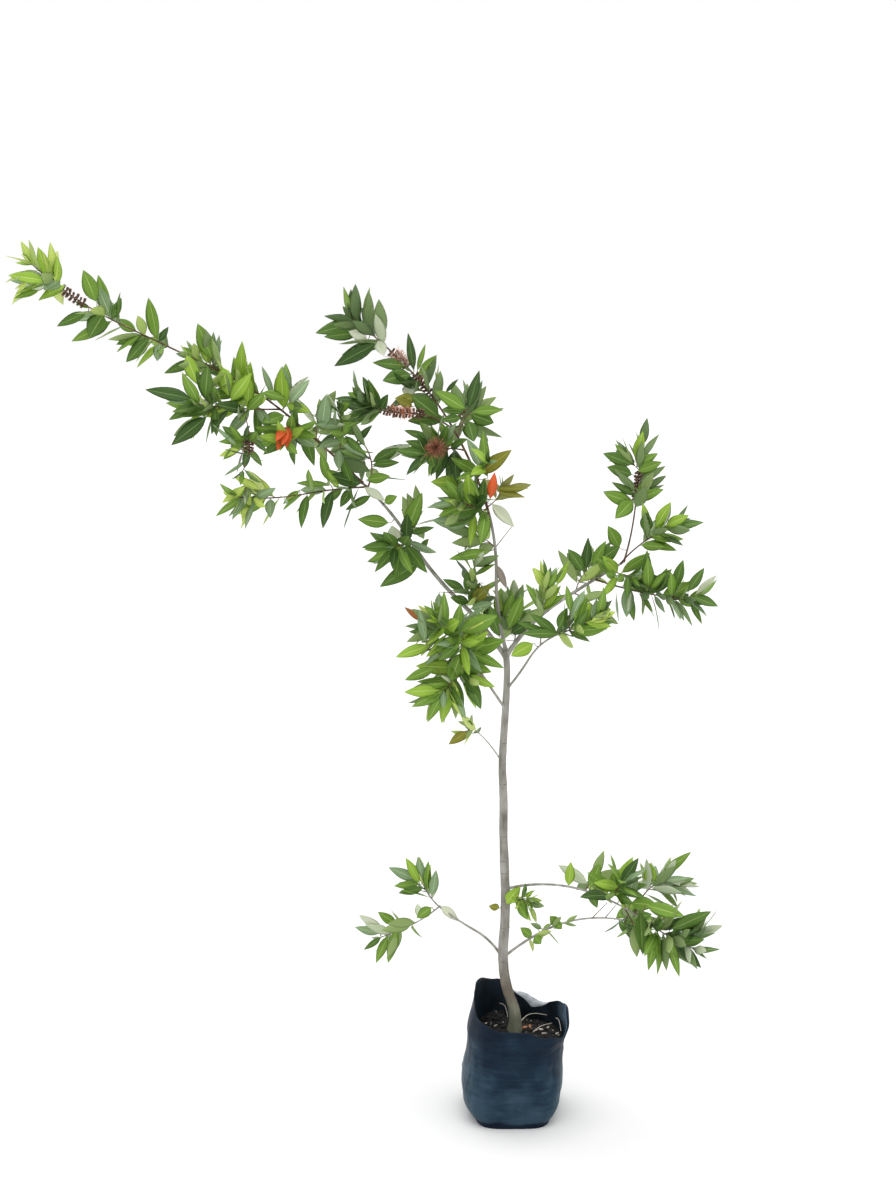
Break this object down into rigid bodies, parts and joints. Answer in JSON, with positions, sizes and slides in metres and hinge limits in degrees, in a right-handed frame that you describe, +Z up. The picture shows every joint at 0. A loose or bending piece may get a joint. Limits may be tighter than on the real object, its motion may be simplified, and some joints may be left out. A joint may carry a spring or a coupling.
{
  "type": "potted bottlebrush shrub",
  "caption": "Young bottlebrush shrub with lance-shaped leaves, seed capsules and a faded flower on slender boughs, rooted in a black plastic grow bag of soil",
  "frame": {"origin": "middle of the flat underside of the grow bag", "axes": "+Z up, +X to the right of the bag and -Y to its front, as the picture shows it"},
  "size_m": [1.2603, 0.4665, 1.636],
  "materials": {
    "film": "black polythene film with a dull blue-grey sheen, creased and dusty",
    "soil": "dark crumbly potting soil with bits of bark, straw and leaf",
    "bark": "smooth light grey-brown young bark with small scars, reddish brown on the upper twigs",
    "leaf": "leathery mid green with a paler midrib and a pale grey-green underside",
    "young_leaf": "soft yellow-green young leaves"
  },
  "bodies": {
    "root": {"grow_bag": "film", "soil": "soil", "trunk": "bark", "leader": "bark", "left_bough": "bark", "long_left_bough": "bark", "right_bough": "bark", "upper_right_bough": "bark", "thin_right_bough": "bark", "side_left_bough": "bark", "low_left_bough": "bark", "low_right_bough": "bark", "low_right_bough_end": "bark", "right_low_bough": "bark", "tip_spray": "young_leaf", "outer_spray": "leaf", "middle_spray": "leaf", "upper_spray": "leaf", "low_spray": "leaf", "hanging_spray": "leaf", "inner_upper_spray": "young_leaf", "inner_lower_spray": "leaf", "inner_back_spray": "leaf", "young_tuft": "leaf", "fork_tuft": "leaf", "left_shoot_inner": "leaf", "left_shoot_tip": "young_leaf", "bough_left_tuft": "leaf", "bough_back_tuft": "leaf", "leader_left_tuft": "leaf", "leader_low_tuft": "leaf", "leader_right_tuft": "leaf", "leader_front_tuft": "leaf", "whorl_tuft": "leaf", "flower_tuft": "leaf", "spike_tuft": "leaf", "leader_upper_tuft": "leaf", "top_tuft": "leaf", "upper_right_tuft": "leaf", "outer_right_tuft": "leaf", "lower_right_tuft": "leaf", "right_top_tuft": "leaf", "right_under_tuft": "leaf", "bright_tuft": "young_leaf", "thin_right_tuft": "leaf", "riser_tuft": "young_leaf", "side_left_upper_tuft": "leaf", "side_left_lower_tuft": "leaf", "left_foot_tuft": "leaf", "right_foot_tuft": "leaf", "small_tuft": "leaf", "low_left_tuft": "young_leaf", "low_left_end_tuft": "leaf", "trunk_tuft": "leaf", "low_right_pairs": "leaf", "right_low_inner_tuft": "leaf", "right_low_middle_tuft": "leaf", "right_low_under_tuft": "leaf", "right_low_end_tuft": "leaf", "right_low_top_tuft": "leaf"}
  },
  "joints": []
}
